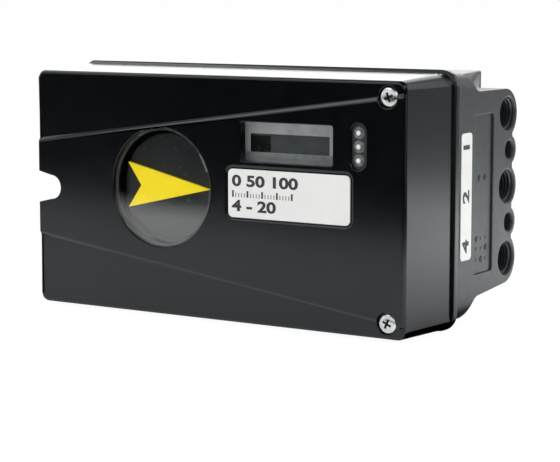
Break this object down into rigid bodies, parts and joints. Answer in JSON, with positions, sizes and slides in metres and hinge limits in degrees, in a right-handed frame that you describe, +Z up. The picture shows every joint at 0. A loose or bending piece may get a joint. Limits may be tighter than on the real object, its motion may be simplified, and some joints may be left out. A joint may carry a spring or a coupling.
{
  "type": "valve positioner",
  "caption": "Rotary valve positioner: black cast housing, screwed cover with arrow indicator, display and lights, threaded air ports on one side and a driven spindle behind.",
  "frame": {"origin": "on the spindle axis at the rear mounting face", "axes": "+Z up, the front faces -Y, +X to the right seen from the front, +Y out of the mounting face"},
  "size_m": [0.182, 0.106, 0.101],
  "materials": {
    "black_enamel": "semi-gloss black powder coat on die-cast aluminium",
    "black_rubber": "matt moulded rubber",
    "zinc_steel": "bright zinc-plated steel",
    "clear_window": "clear polycarbonate",
    "smoked_lens": "lightly smoked polycarbonate",
    "white_label": "satin white polyester label",
    "stainless_steel": "turned stainless steel",
    "bronze": "sintered bronze",
    "spring_steel": "oiled spring steel",
    "natural_nylon": "natural nylon",
    "black_plastic": "fine-textured black plastic",
    "yellow_plastic": "bright yellow printed plastic",
    "blue_plastic": "blue moulded plastic",
    "plated_brass": "plain brass",
    "green_laminate": "green solder resist on glass laminate",
    "lcd_glass": "grey liquid crystal glass",
    "white_plastic": "white plastic",
    "green_plastic": "green plastic",
    "grey_plastic": "grey plastic",
    "bare_aluminium": "machined aluminium",
    "nickel_brass": "nickel-plated brass"
  },
  "bodies": {
    "base": {"housing": "black_enamel", "front_cover": "black_enamel", "cover_gasket": "black_rubber", "cover_screws": "zinc_steel", "indicator_window": "clear_window", "window_seal": "black_rubber", "display_window": "clear_window", "light_window": "smoked_lens", "name_plate": "white_label", "port_label": "white_label", "spindle_bush_front": "bronze", "spindle_bush_rear": "bronze", "spindle_seal": "black_rubber", "pot_body": "blue_plastic", "pot_nut": "plated_brass", "pot_bracket": "zinc_steel", "pot_bracket_screws": "zinc_steel", "main_board": "green_laminate", "board_pillars": "plated_brass", "board_screws": "zinc_steel", "inner_cover": "black_plastic", "lcd_module": "lcd_glass", "lcd_carrier": "white_plastic", "status_leds": "white_plastic", "light_pipes": "clear_window", "key_switches": "black_plastic", "terminal_block": "green_plastic", "terminal_screws": "zinc_steel", "valve_block": "bare_aluminium", "block_gasket": "black_rubber", "block_screws": "zinc_steel", "spool_sleeve": "stainless_steel", "sleeve_seals": "black_rubber", "spool_spring": "spring_steel", "end_caps": "bare_aluminium", "end_cap_screws": "zinc_steel", "pilot_valve": "black_plastic", "pressure_sensors": "stainless_steel", "inlet_filter": "bronze", "vent_plug": "black_plastic", "blanking_plug": "nickel_brass", "plug_seal": "black_rubber", "earth_screw": "zinc_steel", "earth_washer": "plated_brass"},
    "spindle_unit": {"spindle": "stainless_steel", "spindle_circlip": "spring_steel", "feedback_gear": "natural_nylon", "gear_set_screw": "spring_steel", "indicator_disc": "black_plastic", "indicator_arrow": "yellow_plastic"},
    "pot_rotor": {"pot_shaft": "stainless_steel", "pot_pinion": "natural_nylon"},
    "spool_unit": {"spool": "stainless_steel"},
    "key_1_unit": {"key_1": "grey_plastic"},
    "key_2_unit": {"key_2": "grey_plastic"},
    "key_3_unit": {"key_3": "grey_plastic"},
    "key_4_unit": {"key_4": "grey_plastic"},
    "key_5_unit": {"key_5": "grey_plastic"}
  },
  "joints": [
    {"name": "spindle_turn", "type": "hinge", "parent": "base", "child": "spindle_unit", "pos_m": [0, 0, 0], "axis": [0, 1, 0], "range_deg": [-5, 95]},
    {"name": "pot_turn", "type": "hinge", "parent": "base", "child": "pot_rotor", "pos_m": [0.016, -0.04, -0.02771], "axis": [0, 1, 0], "range_deg": [-290, 20]},
    {"name": "spool_slide", "type": "slide", "parent": "base", "child": "spool_unit", "axis": [0, 0, 1], "range_m": [-0.001, 0.001], "stiffness_N_per_m": 500},
    {"name": "key_1_press", "type": "slide", "parent": "base", "child": "key_1_unit", "axis": [0, 1, 0], "range_m": [0, 0.0006], "stiffness_N_per_m": 800},
    {"name": "key_2_press", "type": "slide", "parent": "base", "child": "key_2_unit", "axis": [0, 1, 0], "range_m": [0, 0.0006], "stiffness_N_per_m": 800},
    {"name": "key_3_press", "type": "slide", "parent": "base", "child": "key_3_unit", "axis": [0, 1, 0], "range_m": [0, 0.0006], "stiffness_N_per_m": 800},
    {"name": "key_4_press", "type": "slide", "parent": "base", "child": "key_4_unit", "axis": [0, 1, 0], "range_m": [0, 0.0006], "stiffness_N_per_m": 800},
    {"name": "key_5_press", "type": "slide", "parent": "base", "child": "key_5_unit", "axis": [0, 1, 0], "range_m": [0, 0.0006], "stiffness_N_per_m": 800}
  ],
  "couplings": [
    {"joint": "pot_turn", "follows": "spindle_turn", "ratio": -3}
  ]
}
